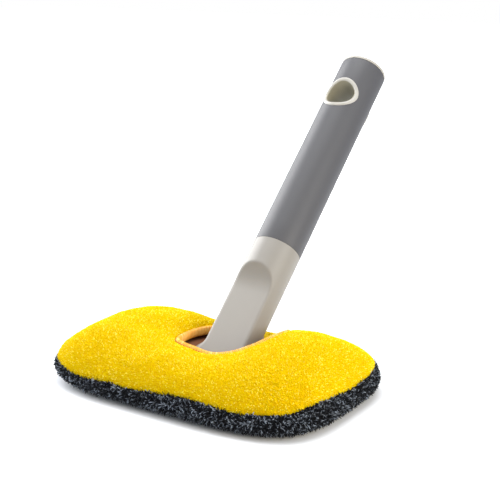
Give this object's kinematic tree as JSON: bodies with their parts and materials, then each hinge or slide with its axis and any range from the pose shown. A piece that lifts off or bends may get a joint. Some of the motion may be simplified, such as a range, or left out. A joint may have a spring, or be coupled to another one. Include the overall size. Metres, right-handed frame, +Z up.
{
  "type": "bath scrubber",
  "caption": "Hand scrubber with an oblong cushioned head in a washable pull-off cover, dark scrubbing pile below, and a leaning round handle with a hanging hole.",
  "frame": {"origin": "on the resting face of the scrubbing pad, under the middle of the head", "axes": "+X along the head's long side, +Y the way the handle leans back, +Z up"},
  "size_m": [0.181, 0.2373, 0.1778],
  "materials": {
    "dark_pile": "curly chenille pile, matt",
    "seam_thread": "overlocked edge, matt",
    "yellow_plush": "short terry plush, matt with fine glints",
    "orange_binding": "overlocked binding, matt",
    "elastic": "braided elastic cord, matt",
    "foam": "open-cell foam, matt",
    "plate_plastic": "moulded, fine texture",
    "screw_steel": "plated",
    "core_plastic": "satin moulded",
    "grip_rubber": "soft-touch, satin",
    "eyelet_plastic": "satin moulded",
    "cap_plastic": "satin moulded"
  },
  "bodies": {
    "cover": {"scrub_pad": "dark_pile", "seam_allowance": "seam_thread", "cover_top": "yellow_plush", "opening_binding": "orange_binding", "opening_elastic": "elastic"},
    "head": {"foam_base": "foam", "foam_crown": "foam", "base_plate": "plate_plastic", "plate_screw_1": "screw_steel", "plate_screw_2": "screw_steel", "plate_screw_3": "screw_steel", "plate_screw_4": "screw_steel", "handle_core": "core_plastic", "grip_sleeve": "grip_rubber", "hanging_eyelet": "eyelet_plastic", "end_cap": "cap_plastic"}
  },
  "joints": [
    {"name": "cover_pull_off", "type": "slide", "parent": "cover", "child": "head", "axis": [0, 0, 1], "range_m": [0, 0.05], "deforming": ["cover_top", "opening_binding", "opening_elastic"]}
  ]
}
